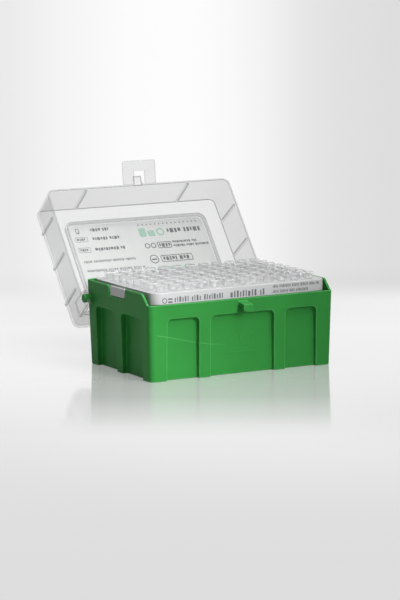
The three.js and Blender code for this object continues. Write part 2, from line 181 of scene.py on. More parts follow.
# The floor: how far down and aside a place lies is scaled to run from 0 to 1 along the tones
FLOOR_RADIUS = 8
FLOOR_DROP = 0.02 * MM
NEAREST_AHEAD = 0.3
DOWN_SCALE = 4.0
ASIDE_SCALE = 5.0
ASIDE_MIDDLE = 0.5
WALL_MEETS_TABLE = (0.145, 0.155)
PAINT_BEGINS = 0.1
PAINT_FULL = 0.45
PAINT_AT_BOX = 0.6
MIRROR_ROUGHNESS = 0.08
SKY_LIGHT = 0.125
SKY_SEEN = 0.94

# Tones of the studio, each at a place from 0 to 1: painted light and shade, brightest in the middle of the
# wall and darker to its sides and on the table towards the camera
TABLE_TONES = [
    (0.62, 0.955), (0.65, 0.955), (0.70, 0.882), (0.754, 0.782), (0.783, 0.772), (0.812, 0.782),
    (0.84, 0.783), (0.87, 0.77), (0.9, 0.759), (0.942, 0.737), (1.0, 0.73),
]
WALL_TONES = [
    (0.16, 0.83), (0.25, 0.905), (0.37, 0.97), (0.44, 0.98), (0.5, 0.975), (0.56, 0.948), (0.625, 0.89),
    (0.69, 0.80), (0.75, 0.755), (0.85, 0.725),
]
FLOOR_SHINE = [
    (0.6, 0.0), (0.65, 0.6), (0.71, 0.55), (0.74, 0.47), (0.754, 0.42), (0.768, 0.3), (0.783, 0.19),
    (0.797, 0.06), (0.812, 0.0),
]
FLOOR_SOAK = 0.48


# ---- Selecting and shaping ----


def pick_only(piece):
    """Selects one piece and nothing else."""
    bpy.ops.object.select_all(action="DESELECT")
    piece.select_set(True)
    bpy.context.view_layer.objects.active = piece


def edit(piece):
    """Opens a piece for editing with all of it selected."""
    pick_only(piece)
    bpy.ops.object.mode_set(mode="EDIT")
    bpy.ops.mesh.select_all(action="SELECT")


def done():
    """Closes the piece that is open for editing."""
    bpy.ops.object.mode_set(mode="OBJECT")


def select_points(piece, wanted):
    """Selects the points of a piece in edit mode for which wanted(place) is true."""
    bpy.ops.mesh.select_all(action="DESELECT")
    bpy.ops.mesh.select_mode(type="VERT")
    bpy.ops.object.mode_set(mode="OBJECT")
    for point in piece.data.vertices:
        point.select = bool(wanted(point.co))
    bpy.ops.object.mode_set(mode="EDIT")


def apply_all(piece):
    """Applies a piece's modifiers in their order."""
    pick_only(piece)
    for name in [modifier.name for modifier in piece.modifiers]:
        bpy.ops.object.modifier_apply(modifier=name)


def settle(piece):
    """Puts a piece's place, turn and size into its mesh."""
    pick_only(piece)
    bpy.ops.object.transform_apply(location=True, rotation=True, scale=True)


def face_outwards(piece):
    """Joins a piece's points that touch, and turns its faces outwards."""
    edit(piece)
    bpy.ops.mesh.remove_doubles(threshold=TOUCHING)
    bpy.ops.mesh.normals_make_consistent(inside=False)
    done()


def open_up(piece):
    """Turns a piece that is drawn on the closed lid to where the lid stands open."""
    turn = Matrix.Rotation(-LID_OPEN, 4, "X")
    piece.matrix_world = Matrix.Translation(PIN) @ turn @ Matrix.Translation(-PIN) @ piece.matrix_world
    settle(piece)


def closed_box(node):
    """The lowest and highest corners of a CAD node on the lid, as it is with the lid closed."""
    turn = Matrix.Rotation(LID_OPEN, 3, "X")
    places = [PIN + turn @ (point.co - PIN) for point in frame["nodes"][node].data.vertices]
    low = Vector([min(place[i] for place in places) for i in range(3)])
    high = Vector([max(place[i] for place in places) for i in range(3)])
    return low, high


def mark_edges(piece, segments, width):
    """Rounds a piece's sharp edges, and writes 1 on the rounded faces' edge attribute, which marks where the
    materials paint a highlight or a dark line.
    """
    bevel = piece.modifiers.new("rounded_edges", "BEVEL")
    bevel.width = width
    bevel.segments = segments
    bevel.limit_method = "ANGLE"
    bevel.angle_limit = SHARP
    bevel.miter_outer = "MITER_SHARP"
    bevel.use_clamp_overlap = False
    bevel.material = 1
    piece.data.materials.clear()
    piece.data.materials.append(None)
    piece.data.materials.append(None)
    apply_all(piece)
    faces = piece.data.polygons
    rounded = [float(face.material_index == 1) for face in faces]
    for face in faces:
        face.material_index = 0
    edge = piece.data.attributes.new("edge", "FLOAT", "FACE")
    edge.data.foreach_set("value", rounded)
    piece.data.materials.clear()


def moulded_copy(node, name, width, segments=2, shaping=None):
    """A CAD part again with its faces joined up and its edges rounded."""
    piece = frame["nodes"][node].copy()
    piece.data = piece.data.copy()
    piece.parent = None
    piece.name = name
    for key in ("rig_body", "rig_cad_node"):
        del piece[key]
    bpy.context.scene.collection.objects.link(piece)
    edit(piece)
    bpy.ops.mesh.remove_doubles(threshold=TOUCHING)
    bpy.ops.mesh.dissolve_limited(angle_limit=SAME_PLANE)
    done()
    if shaping:
        shaping(piece)
    mark_edges(piece, segments, width)
    pick_only(piece)
    bpy.ops.object.shade_smooth_by_angle(angle=SMOOTH_UP_TO)
    piece.modifiers.new("flat_faces", "WEIGHTED_NORMAL").keep_sharp = True
    apply_all(piece)
    return piece


def finish_piece(piece, body, material):
    """Gives a piece its material and the body that it moves with."""
    piece.data.materials.clear()
    piece.data.materials.append(material)
    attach(piece, body)


# ---- Nodes ----


def new_group(name, inputs, outputs):
    """A node group with its sockets, and its two end nodes."""
    group = bpy.data.node_groups.new(name, "ShaderNodeTree")
    for label, kind, value in inputs:
        socket = group.interface.new_socket(label, in_out="INPUT", socket_type=kind)
        socket.default_value = value
    for label, kind in outputs:
        group.interface.new_socket(label, in_out="OUTPUT", socket_type=kind)
    return group, group.nodes.new("NodeGroupInput"), group.nodes.new("NodeGroupOutput")


def maths(tree, operation, first, second=None, third=None):
    """A Math node's result from numbers or sockets."""
    node = tree.nodes.new("ShaderNodeMath")
    node.operation = operation
    for socket, value in zip(node.inputs, (first, second, third)):
        if isinstance(value, (int, float)):
            socket.default_value = value
        elif value is not None:
            tree.links.new(value, socket)
    return node.outputs[0]


def mix_colours(tree, factor, first, second):
    """A colour from the first to the second along a factor, each a value or a socket."""
    node = tree.nodes.new("ShaderNodeMix")
    node.data_type = "RGBA"
    for socket, value in ((node.inputs[0], factor), (node.inputs[6], first), (node.inputs[7], second)):
        if isinstance(value, (int, float, tuple)):
            socket.default_value = value
        else:
            tree.links.new(value, socket)
    return node.outputs[2]


def noise(tree, place, scale, detail=3.0):
    """Noise from 0 to 1 over a place."""
    node = tree.nodes.new("ShaderNodeTexNoise")
    node.inputs["Detail"].default_value = detail
    tree.links.new(place, node.inputs["Vector"])
    if isinstance(scale, (int, float)):
        node.inputs["Scale"].default_value = scale
    else:
        tree.links.new(scale, node.inputs["Scale"])
    return node.outputs["Fac"]


def step_between(tree, value, start, end, first=0.0, last=1.0):
    """Goes smoothly from the first number to the last as a value goes from start to end."""
    node = tree.nodes.new("ShaderNodeMapRange")
    node.interpolation_type = "SMOOTHSTEP"
    for label, number in (("From Min", start), ("From Max", end), ("To Min", first), ("To Max", last)):
        node.inputs[label].default_value = number
    tree.links.new(value, node.inputs["Value"])
    return node.outputs[0]


# ---- Node groups ----


def moulded_tone_group():
    """Slow, weak changes of tone through a moulded wall."""
    group, given, made = new_group(
        "moulded_tone",
        [
            ("Colour", "NodeSocketColor", MID_GREY),
            ("Deep Colour", "NodeSocketColor", MID_GREY),
            ("Patch Scale", "NodeSocketFloat", 40.0),
        ],
        [("Colour", "NodeSocketColor")],
    )
    place = group.nodes.new("ShaderNodeTexCoord").outputs["Object"]
    patches = noise(group, place, given.outputs["Patch Scale"], 2.0)
    strength = maths(group, "MULTIPLY", maths(group, "SUBTRACT", patches, TONE_START), TONE_RISE)
    clamped = maths(group, "MINIMUM", maths(group, "MAXIMUM", strength, 0.0), 1.0)
    colour = mix_colours(group, clamped, given.outputs["Colour"], given.outputs["Deep Colour"])
    group.links.new(colour, made.inputs["Colour"])
    return group


def painted_edge_tone_group():
    """Painted light and shade on rounded edges, a highlight or a dark line, broken up by noise, from not at
    all to fully.
    """
    group, given, made = new_group(
        "painted_edge_tone",
        [
            ("Colour", "NodeSocketColor", MID_GREY),
            ("Edge Colour", "NodeSocketColor", MID_GREY),
            ("Amount", "NodeSocketFloat", 0.5),
            ("Breaks", "NodeSocketFloat", 0.8),
        ],
        [("Colour", "NodeSocketColor"), ("Edge", "NodeSocketFloat")],
    )
    place = group.nodes.new("ShaderNodeTexCoord").outputs["Object"]
    edge = group.nodes.new("ShaderNodeAttribute")
    edge.attribute_name = "edge"
    lost = maths(group, "MULTIPLY", noise(group, place, BREAK_SCALE), given.outputs["Breaks"])
    kept = maths(group, "SUBTRACT", 1.0, lost)
    unbroken = maths(group, "MULTIPLY", edge.outputs["Fac"], kept)
    share = maths(group, "MULTIPLY", unbroken, given.outputs["Amount"])
    colour = mix_colours(group, share, given.outputs["Colour"], given.outputs["Edge Colour"])
    group.links.new(colour, made.inputs["Colour"])
    group.links.new(share, made.inputs["Edge"])
    return group


def moulded_grain_group():
    """The fine texture of a mould: a roughness between two values, and a height for a bump."""
    group, given, made = new_group(
        "moulded_grain",
        [
            ("Grain Scale", "NodeSocketFloat", 2500.0),
            ("Smoothest", "NodeSocketFloat", 0.3),
            ("Roughest", "NodeSocketFloat", 0.45),
        ],
        [("Roughness", "NodeSocketFloat"), ("Height", "NodeSocketFloat")],
    )
    place = group.nodes.new("ShaderNodeTexCoord").outputs["Object"]
    fine = noise(group, place, given.outputs["Grain Scale"], 2.0)
    broad = noise(group, place, BROAD_SCALE)
    rise = maths(group, "SUBTRACT", given.outputs["Roughest"], given.outputs["Smoothest"])
    roughness = maths(group, "MULTIPLY_ADD", broad, rise, given.outputs["Smoothest"])
    height = maths(group, "MULTIPLY_ADD", fine, FINE_SHARE, broad)
    group.links.new(roughness, made.inputs["Roughness"])
    group.links.new(height, made.inputs["Height"])
    return group


def flow_line_group():
    """A thin wandering line across part of the front, where two fronts of melt met in the mould."""
    group, given, made = new_group(
        "flow_line",
        [
            ("Height", "NodeSocketFloat", LINE_HEIGHT),
            ("Width", "NodeSocketFloat", LINE_WIDTH),
            ("Fall", "NodeSocketFloat", LINE_FALL),
        ],
        [("Line", "NodeSocketFloat")],
    )
    place = group.nodes.new("ShaderNodeTexCoord").outputs["Object"]
    parts = group.nodes.new("ShaderNodeSeparateXYZ")
    group.links.new(place, parts.inputs[0])
    x, y, z = (parts.outputs[axis] for axis in "XYZ")
    swing = maths(group, "SUBTRACT", noise(group, place, LINE_WANDER_SCALE, 1.0), 0.5)
    wander = maths(group, "MULTIPLY", swing, LINE_WANDER)
    level = maths(group, "ADD", maths(group, "MULTIPLY_ADD", x, given.outputs["Fall"], z), wander)
    off = maths(group, "ABSOLUTE", maths(group, "SUBTRACT", level, given.outputs["Height"]))
    faded = maths(group, "SUBTRACT", 1.0, maths(group, "DIVIDE", off, given.outputs["Width"]))
    line = maths(group, "MAXIMUM", faded, 0.0)
    begun = step_between(group, x, *LINE_BEGINS)
    unended = step_between(group, x, *LINE_ENDS, 1.0, 0.0)
    front = maths(group, "LESS_THAN", y, LINE_IN_FRONT_OF)
    shown = maths(group, "MULTIPLY", maths(group, "MULTIPLY", begun, unended), front)
    group.links.new(maths(group, "MULTIPLY", line, shown), made.inputs["Line"])
    return group


# ---- Materials ----


def place_group(tree, group, **values):
    """Puts a node group in a material with its own values, which are given by socket name."""
    node = tree.nodes.new("ShaderNodeGroup")
    node.node_tree = group
    for label, value in values.items():
        socket = node.inputs[label.replace("_", " ")]
        if isinstance(value, (int, float, tuple)):
            socket.default_value = value
        else:
            tree.links.new(value, socket)
    return node


def new_material(name):
    """A material, its node tree and its shader."""
    material = bpy.data.materials.new(name)
    material.use_nodes = True
    tree = material.node_tree
    return material, tree, tree.nodes["Principled BSDF"]


def add_bump(tree, shader, height, depth):
    """Raises a surface in shading by a height from 0 to 1 times a depth."""
    bump = tree.nodes.new("ShaderNodeBump")
    bump.inputs["Distance"].default_value = depth
    tree.links.new(height, bump.inputs["Height"])
    tree.links.new(bump.outputs["Normal"], shader.inputs["Normal"])


def green_plastic(groups):
    material, tree, shader = new_material("green_plastic")
    tone = place_group(tree, groups["tone"], Colour=(0.041, 0.3, 0.057, 1),
                       Deep_Colour=(0.036, 0.265, 0.05, 1))
    line = place_group(tree, groups["flow"])
    paler = maths(tree, "MULTIPLY", line.outputs["Line"], LINE_SHARE)
    lined = mix_colours(tree, paler, tone.outputs["Colour"], (0.11, 0.42, 0.12, 1))
    # Painted highlight: a paler green on the rounded edges
    edge_painted = place_group(tree, groups["edge"], Colour=lined, Edge_Colour=(0.13, 0.52, 0.16, 1), Amount=0.85)
    grain = place_group(tree, groups["grain"], Grain_Scale=1800.0, Smoothest=0.3, Roughest=0.44)
    tree.links.new(edge_painted.outputs["Colour"], shader.inputs["Base Color"])
    tree.links.new(grain.outputs["Roughness"], shader.inputs["Roughness"])
    shader.inputs["IOR"].default_value = 1.36
    shader.inputs["Specular IOR Level"].default_value = 0.11
    add_bump(tree, shader, grain.outputs["Height"], 0.05 * MM)
    return material


def white_plastic(groups):
    material, tree, shader = new_material("white_plastic")
    tone = place_group(tree, groups["tone"], Colour=(0.62, 0.625, 0.63, 1), Deep_Colour=(0.59, 0.595, 0.6, 1))
    # Painted highlight: near white on the rounded edges
    edge_painted = place_group(tree, groups["edge"], Colour=tone.outputs["Colour"], Edge_Colour=(0.9, 0.9, 0.9, 1),
                       Amount=0.8)
    grain = place_group(tree, groups["grain"], Grain_Scale=1500.0, Smoothest=0.35, Roughest=0.5)
    tree.links.new(edge_painted.outputs["Colour"], shader.inputs["Base Color"])
    tree.links.new(grain.outputs["Roughness"], shader.inputs["Roughness"])
    add_bump(tree, shader, grain.outputs["Height"], 0.04 * MM)
    return material


def clear_plastic(groups, name, colour, deep, edge_colour, clearest, milkiest, glow):
    """Clear moulded plastic: see-through face on, milky at a slant, and with a painted dark line along its
    edges and steps.

    The lamps' light goes through it more easily than sight does, as it scatters on the way.
    """
    material, tree, shader = new_material(name)
    tone = place_group(tree, groups["tone"], Colour=colour, Deep_Colour=deep, Patch_Scale=60.0)
    # Painted dark line on edges and steps, where the plastic is also less see-through
    edge_painted = place_group(tree, groups["edge"], Colour=tone.outputs["Colour"], Edge_Colour=edge_colour,
                       Amount=0.95, Breaks=0.15)
    grain = place_group(tree, groups["grain"], Grain_Scale=900.0, Smoothest=0.1, Roughest=0.22)
    tree.links.new(edge_painted.outputs["Colour"], shader.inputs["Base Color"])
    tree.links.new(grain.outputs["Roughness"], shader.inputs["Roughness"])
    shader.inputs["IOR"].default_value = 1.49
    shader.inputs["Subsurface Weight"].default_value = glow
    shader.inputs["Subsurface Radius"].default_value = (1, 1, 1)
    shader.inputs["Subsurface Scale"].default_value = 2 * MM
    add_bump(tree, shader, grain.outputs["Height"], 0.03 * MM)
    slant = tree.nodes.new("ShaderNodeLayerWeight")
    milk = maths(tree, "POWER", slant.outputs["Facing"], MILK_SHARPNESS)
    veil = maths(tree, "MULTIPLY_ADD", milk, milkiest - clearest, clearest)
    seen = maths(tree, "MAXIMUM", veil, maths(tree, "MULTIPLY", edge_painted.outputs["Edge"], EDGE_BODY))
    path = tree.nodes.new("ShaderNodeLightPath")
    stopped = maths(tree, "MULTIPLY_ADD", path.outputs["Is Shadow Ray"], -LAMP_LIGHT_LET_BY, 1.0)
    tree.links.new(maths(tree, "MULTIPLY", seen, stopped), shader.inputs["Alpha"])
    return material


def lid_plastic(groups):
    # The edge colour is a painted dark line on the lid's and flap's edges and step
    return clear_plastic(
        groups, "lid_plastic", colour=(0.7, 0.705, 0.71, 1), deep=(0.66, 0.665, 0.67, 1),
        edge_colour=(0.26, 0.27, 0.27, 1), clearest=0.19, milkiest=0.19, glow=0.0,
    )


def tip_plastic(groups):
    # The edge colour is a painted grey line on the tips' rims
    return clear_plastic(
        groups, "tip_plastic", colour=(0.92, 0.925, 0.93, 1), deep=(0.88, 0.885, 0.89, 1),
        edge_colour=(0.78, 0.79, 0.8, 1), clearest=0.2, milkiest=0.36, glow=1.0,
    )


def label_paper(groups):
    material, tree, shader = new_material("label_paper")
    tone = place_group(tree, groups["tone"], Colour=(0.94, 0.945, 0.94, 1), Deep_Colour=(0.9, 0.91, 0.9, 1),
                       Patch_Scale=90.0)
    grain = place_group(tree, groups["grain"], Grain_Scale=2600.0, Smoothest=0.55, Roughest=0.75)
    tree.links.new(tone.outputs["Colour"], shader.inputs["Base Color"])
    tree.links.new(grain.outputs["Roughness"], shader.inputs["Roughness"])
    add_bump(tree, shader, grain.outputs["Height"], 0.02 * MM)
    return material


def ink(groups, name, colour, thin):
    """A printing ink; where it lies thin it is paler."""
    material, tree, shader = new_material(name)
    tone = place_group(tree, groups["tone"], Colour=colour, Deep_Colour=thin, Patch_Scale=220.0)
    grain = place_group(tree, groups["grain"], Grain_Scale=3000.0, Smoothest=0.5, Roughest=0.7)
    tree.links.new(tone.outputs["Colour"], shader.inputs["Base Color"])
    tree.links.new(grain.outputs["Roughness"], shader.inputs["Roughness"])
    return material


# ---- Box, tray, lid, flap and label ----


def box_body(material):
    base = moulded_copy("base", "box_body", BOX_EDGE)
    finish_piece(base, "box", material)
    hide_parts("base")
    return base


def middle_panel(base):
    """The middle and the outward normal of the wide recessed panel on the box's front."""
    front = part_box("base")[0].y + PANEL_REACH
    faces = [face for face in base.data.polygons if face.normal.y < FACES_FRONT and face.center.y < front]
    panel = max(faces, key=lambda face: face.area * (abs(face.center.x) < PANEL_REACH))
    corners = [base.data.vertices[number].co for number in panel.vertices]
    low = Vector([min(corner[i] for corner in corners) for i in range(3)])
    high = Vector([max(corner[i] for corner in corners) for i in range(3)])
    return (low + high) / 2, panel.normal.copy()


def panel_emblem(base, material):
    """A faint raised ring and two bars in the middle panel, where such boxes carry a raised mark."""
    centre, normal = middle_panel(base)
    mark = Print("panel_emblem")
    mark.ring(4, 3, 4.4, 1.2)
    mark.bar(-9, -0.6, 7.5, 1.3)
    mark.bar(-9, -6.5, 18, 1.3)
    piece = mark.close(2 * EMBLEM_PROUD)
    piece.rotation_mode = "QUATERNION"
    piece.rotation_quaternion = normal.to_track_quat("Z", "Y")
    piece.location = centre
    settle(piece)
    # Its rounded edges take the green plastic's painted highlight, which makes the faint mark show
    mark_edges(piece, 1, EMBLEM_EDGE)
    finish_piece(piece, "box", material)


def rack_tray(material):
    tray = moulded_copy("tray", "rack_tray", TRAY_EDGE)
    finish_piece(tray, "box", material)
    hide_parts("tray")


def mark_step(lid):
    """Writes the edge attribute on the upright faces of the step round the raised middle of the lid, where
    the lid plastic paints a dark line.
    """
    turn = Matrix.Rotation(LID_OPEN, 3, "X")
    label_low, _ = closed_box("label")
    edge = lid.data.attributes["edge"].data
    for face in lid.data.polygons:
        closed_place = PIN + turn @ (face.center - PIN)
        closed_normal = turn @ face.normal
        if abs(closed_normal.z) < UPRIGHT and closed_place.z > label_low.z - STEP_BAND:
            edge[face.index].value = STEP_TONE


def clear_lid(material):
    lid = moulded_copy("lid", "clear_lid", LID_EDGE)
    mark_step(lid)
    finish_piece(lid, "lid", material)
    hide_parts("lid")


def crease(flap):
    """Thins the flap along the line where it folds."""
    line = FLAP_AXIS.z + CREASE_HEIGHT
    edit(flap)
    for height in (line - CREASE_HALF, line, line + CREASE_HALF):
        bpy.ops.mesh.select_all(action="SELECT")
        bpy.ops.mesh.bisect(plane_co=(0, 0, height), plane_no=(0, 0, 1))
    select_points(flap, lambda place: abs(place.z - line) < SAME_HEIGHT)
    bpy.ops.transform.resize(value=(1, CREASE_THINNED, 1))
    done()


def latch_flap(material):
    """The clear flap, whose thin edges get a weaker painted dark line than the lid's."""
    flap = moulded_copy("latch_flap", "clear_flap", FLAP_EDGE, shaping=crease)
    for edge in flap.data.attributes["edge"].data:
        edge.value *= FLAP_TONE
    finish_piece(flap, "latch", material)
    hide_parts("latch_flap")


def lid_label(material):
    label = moulded_copy("label", "lid_label", LABEL_EDGE, segments=1)
    finish_piece(label, "lid", material)
    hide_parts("label")


# ---- Tips ----


def first_tip(material):
    """One tip, turned from rings: a thin cone below, a collar with a rim above, and the bore inside."""
    low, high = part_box(COLUMNS[0])
    x, y = (low.x + high.x) / 2, high.y - COLLAR_RADIUS
    seat, rim = high.z - COLLAR_HEIGHT, high.z - RIM_HEIGHT
    rings = [
        (TIP_END_RADIUS, low.z), (SHANK_RADIUS, seat - SHANK_BELOW_SEAT), (SHANK_RADIUS, seat),
        (NECK_RADIUS, seat + SEAT_EDGE), (NECK_RADIUS, rim - RIM_EDGE), (COLLAR_RADIUS, rim),
        (COLLAR_RADIUS, high.z - RIM_EDGE), (COLLAR_RADIUS - RIM_EDGE, high.z), (MOUTH_RADIUS, high.z),
        (BORE_RADIUS, seat), (BORE_END_RADIUS, low.z),
    ]
    radius, height = rings[0]
    bpy.ops.mesh.primitive_circle_add(vertices=TIP_SIDES, radius=radius, location=(x, y, height))
    tip = bpy.context.object
    tip.name = "tip_A01"
    bpy.ops.object.mode_set(mode="EDIT")
    bpy.ops.mesh.select_all(action="SELECT")
    for next_radius, next_height in rings[1:]:
        bpy.ops.mesh.extrude_edges_move(TRANSFORM_OT_translate={"value": (0, 0, next_height - height)})
        ratio = next_radius / radius
        bpy.ops.transform.resize(value=(ratio, ratio, 1))
        radius, height = next_radius, next_height
    done()
    settle(tip)
    edit(tip)
    select_points(tip, lambda place: abs(place.z - low.z) < SAME_HEIGHT)
    bpy.ops.mesh.bridge_edge_loops()
    bpy.ops.mesh.select_all(action="SELECT")
    bpy.ops.mesh.normals_make_consistent(inside=False)
    done()
    bpy.ops.object.shade_smooth_by_angle(angle=TIP_SMOOTH_UP_TO)
    # The rim's faces take the tip plastic's painted grey line
    edge = tip.data.attributes.new("edge", "FLOAT", "FACE")
    edge.data.foreach_set("value", [RIM_TONE * (face.center.z > rim) for face in tip.data.polygons])
    tip.data.materials.append(material)
    return tip


def rack_of_tips(material):
    """A tip in each hole of the tray, by row letter and column number."""
    first = first_tip(material)
    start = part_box(COLUMNS[0])[0].x
    for number, column in enumerate(COLUMNS, 1):
        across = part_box(column)[0].x - start
        for row, letter in enumerate(ROW_LETTERS):
            tip = first
            if number > 1 or row > 0:
                tip = first.copy()
                tip.data = first.data.copy()
                tip.name = f"tip_{letter}{number:02d}"
                bpy.context.scene.collection.objects.link(tip)
                tip.data.transform(Matrix.Translation((across, -row * PITCH, 0)))
            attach(tip, "box")
            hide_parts(column)


# ---- Print ----


class Print:
    """Flat marks drawn on a sheet in millimetres, x across and y up, as one mesh."""

    def __init__(self, name, weight=TRAY_PRINT_WEIGHT):
        bpy.ops.object.select_all(action="DESELECT")
        bpy.ops.mesh.primitive_plane_add(size=1 * MM)
        self.weight = weight
        self.piece = bpy.context.object
        self.piece.name = name
        edit(self.piece)
        bpy.ops.mesh.delete(type="VERT")

    def bar(self, x, y, width, height, round_by=INK_CORNER):
        """A bar with rounded corners, from its lower left corner."""
        bpy.ops.mesh.select_all(action="DESELECT")
        middle = ((x + width / 2) * MM, (y + height / 2) * MM, 0)
        bpy.ops.mesh.primitive_plane_add(size=1 * MM, location=middle)
        bpy.ops.transform.resize(value=(width, height, 1))
        radius = min(round_by, width * MOST_ROUNDED, height * MOST_ROUNDED) * MM
        bpy.ops.mesh.bevel(offset=radius, segments=2, affect="VERTICES", offset_type="OFFSET")

    def outline(self, x, y, width, height, line=0.3):
        """The outline of a box with rounded corners, from its lower left corner."""
        self.bar(x, y, width, height, OUTLINE_CORNER)
        bpy.ops.mesh.inset(thickness=line * MM)
        bpy.ops.mesh.delete(type="FACE")

    def ring(self, x, y, radius, line):
        """A round outline about its centre."""
        bpy.ops.mesh.select_all(action="DESELECT")
        middle = (x * MM, y * MM, 0)
        bpy.ops.mesh.primitive_circle_add(vertices=RING_SIDES, radius=radius * MM, location=middle)
        bpy.ops.mesh.extrude_edges_move()
        share = 1 - line / radius
        bpy.ops.transform.resize(value=(share, share, 1))

    def row(self, x, y, length, height, start=0):
        """Thin blocks of a few widths and two heights side by side, with a wider gap after each group."""
        end = x + length
        count = group = start
        left = BLOCKS_IN_GROUP[group % len(BLOCKS_IN_GROUP)]
        while x < end - NARROWEST_BLOCK * height:
            width = min(BLOCK_WIDTHS[count % len(BLOCK_WIDTHS)] * height * self.weight, end - x)
            tall = height if (count * 5 + start) % 3 else height * LOW_BLOCK
            self.bar(x, y, width, tall, BLOCK_CORNER)
            x += width + BLOCK_GAP * height
            count += 1
            left -= 1
            if left == 0:
                group += 1
                left = BLOCKS_IN_GROUP[group % len(BLOCKS_IN_GROUP)]
                x += GROUP_GAP * height

    def close(self, thickness):
        """Gives the marks their thickness, half to each side of the sheet, and hands the piece over."""
        done()
        solidify = self.piece.modifiers.new("ink", "SOLIDIFY")
        solidify.thickness = thickness
        solidify.offset = 0
        apply_all(self.piece)
        face_outwards(self.piece)
        return self.piece


def tray_print(material):
    """Plain blocks in rows across the tray's front, drawn from the middle of its upper edge."""
    low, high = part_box("tray")
    marks = Print("tray_marks")
    marks.ring(-50.2, -4.6, 1.6, 0.5)
    marks.bar(-48, -6.1, 2.9, 1)
    marks.bar(-48, -4.3, 2.9, 0.9)
    marks.row(-43.8, -5.9, 31.8, 3.1)
    marks.row(-7.2, -6.1, 22.6, 3.7, start=2)
    marks.row(21.2, -2.7, 31.4, 1.7, start=1)
    marks.row(21.2, -5.7, 23.6, 1.7, start=3)
    piece = marks.close(2 * INK_PROUD)
    piece.rotation_euler = (math.radians(90), 0, 0)
    piece.location = (0, low.y, high.z)
    settle(piece)
    finish_piece(piece, "box", material)


def on_label(draw, name, material):
    """Marks drawn from the label's corner, right through it, so that they show on both of its sides."""
    low, high = closed_box("label")
    marks = Print(name, LABEL_PRINT_WEIGHT)
    draw(marks)
    piece = marks.close(high.z - low.z + 2 * INK_PROUD)
    piece.location = (low.x, low.y, (low.z + high.z) / 2)
    settle(piece)
    open_up(piece)
    finish_piece(piece, "lid", material)


def dark_label_marks(marks):
    marks.outline(6.3, 2.2, 2.6, 3.4, 0.5)
    marks.bar(7.1, 4.9, 1.2, 1.2)
    marks.row(16.5, 2.7, 13, 2.2, start=1)
    marks.outline(4.3, 8.3, 8.7, 3.6)
    marks.row(5.5, 9.2, 6.2, 1.8, start=2)
    marks.row(16.3, 9.1, 19.8, 2.2)
    marks.outline(4.5, 15.9, 8.3, 3.6)
    marks.row(5.7, 16.8, 6, 1.8, start=3)
    marks.row(15.7, 16.7, 20.4, 2.2, start=2)
    marks.row(68.7, 6.7, 23.4, 3.1, start=1)
    marks.ring(51.8, 18.1, 1.9, 0.6)
    marks.ring(56, 18.1, 1.9, 0.6)
    marks.outline(58.9, 15.9, 9.8, 4.6, 0.5)
    marks.row(60.1, 17, 7.6, 2.6, start=1)
    marks.row(69.9, 18.5, 24.6, 1.7)
    marks.row(69.9, 15.7, 17.4, 1.7, start=2)
    marks.ring(53.4, 27.9, 3.1, 0.6)
    marks.bar(51.7, 27.5, 3.4, 1)
    marks.outline(58.1, 25.6, 22.3, 4.9, 0.5)
    marks.row(59.7, 26.7, 19.2, 2.7, start=3)


def pale_label_marks(marks):
    marks.row(5.3, 25.3, 35.7, 1.8, start=1)
    marks.row(5.7, 31.8, 40.4, 1.8, start=2)
    for number in range(15):
        marks.bar(49.7 + 2.9 * number, 2.3, 1, 1)


def green_label_marks(marks):
    marks.bar(48.9, 5.1, 5, 6.4, 1.2)
    marks.bar(54.9, 7.1, 5, 4.4, 1.2)
    marks.ring(63.9, 8.6, 2.8, 1.1)
    marks.bar(53.7, 33.9, 26, 1.2)


def label_print(dark, pale, green):
    """The label's print in its three inks."""
    on_label(dark_label_marks, "label_marks_dark", dark)
    on_label(pale_label_marks, "label_marks_pale", pale)
    on_label(green_label_marks, "label_marks_green", green)


# ---- Studio ----


def ramp(tree, factor, stops):
    """A grey that changes along a factor; each stop is a place and a level."""
    node = tree.nodes.new("ShaderNodeValToRGB")
    elements = node.color_ramp.elements
    while len(elements) < len(stops):
        elements.new(0.5)
    for element, (position, level) in zip(elements, stops):
        element.position = position
        element.color = (level, level, level, 1)
    tree.links.new(factor, node.inputs[0])
    return node.outputs["Color"]


def camera_back():
    """The way from the box to the camera, of length 1."""
    flat = math.cos(CAMERA_ELEVATION)
    x, y = math.sin(CAMERA_AZIMUTH) * flat, -math.cos(CAMERA_AZIMUTH) * flat
    return Vector((x, y, math.sin(CAMERA_ELEVATION)))


def floor_bearings(tree, place):
    """How far down and how far aside a place on the floor lies, per unit of its distance ahead."""
    back = camera_back()
    foot = AIM + back * CAMERA_DISTANCE
    ahead = Vector((-back.x, -back.y, 0)).normalized()
    turned = tree.nodes.new("ShaderNodeMapping")
    turned.vector_type = "TEXTURE"
    turned.inputs["Location"].default_value = (foot.x, foot.y, 0)
    turned.inputs["Rotation"].default_value = (0, 0, math.atan2(-ahead.x, ahead.y))
    tree.links.new(place, turned.inputs["Vector"])
    parts = tree.nodes.new("ShaderNodeSeparateXYZ")
    tree.links.new(turned.outputs[0], parts.inputs[0])
    depth = maths(tree, "MAXIMUM", parts.outputs["Y"], NEAREST_AHEAD)
    return maths(tree, "DIVIDE", foot.z, depth), maths(tree, "DIVIDE", parts.outputs["X"], depth)


def seen_share(tree, path):
    """1 for what is seen straight, through something clear or in a mirror, and 0 for light on its way."""
    direct = maths(tree, "MAXIMUM", path.outputs["Is Camera Ray"], path.outputs["Is Transmission Ray"])
    return maths(tree, "MAXIMUM", direct, path.outputs["Is Glossy Ray"])


def mix_shaders(tree, factor, first, second):
    """A surface from the first to the second along a factor."""
    node = tree.nodes.new("ShaderNodeMixShader")
    for socket, value in zip(node.inputs, (factor, first, second)):
        tree.links.new(value, socket)
    return node.outputs[0]


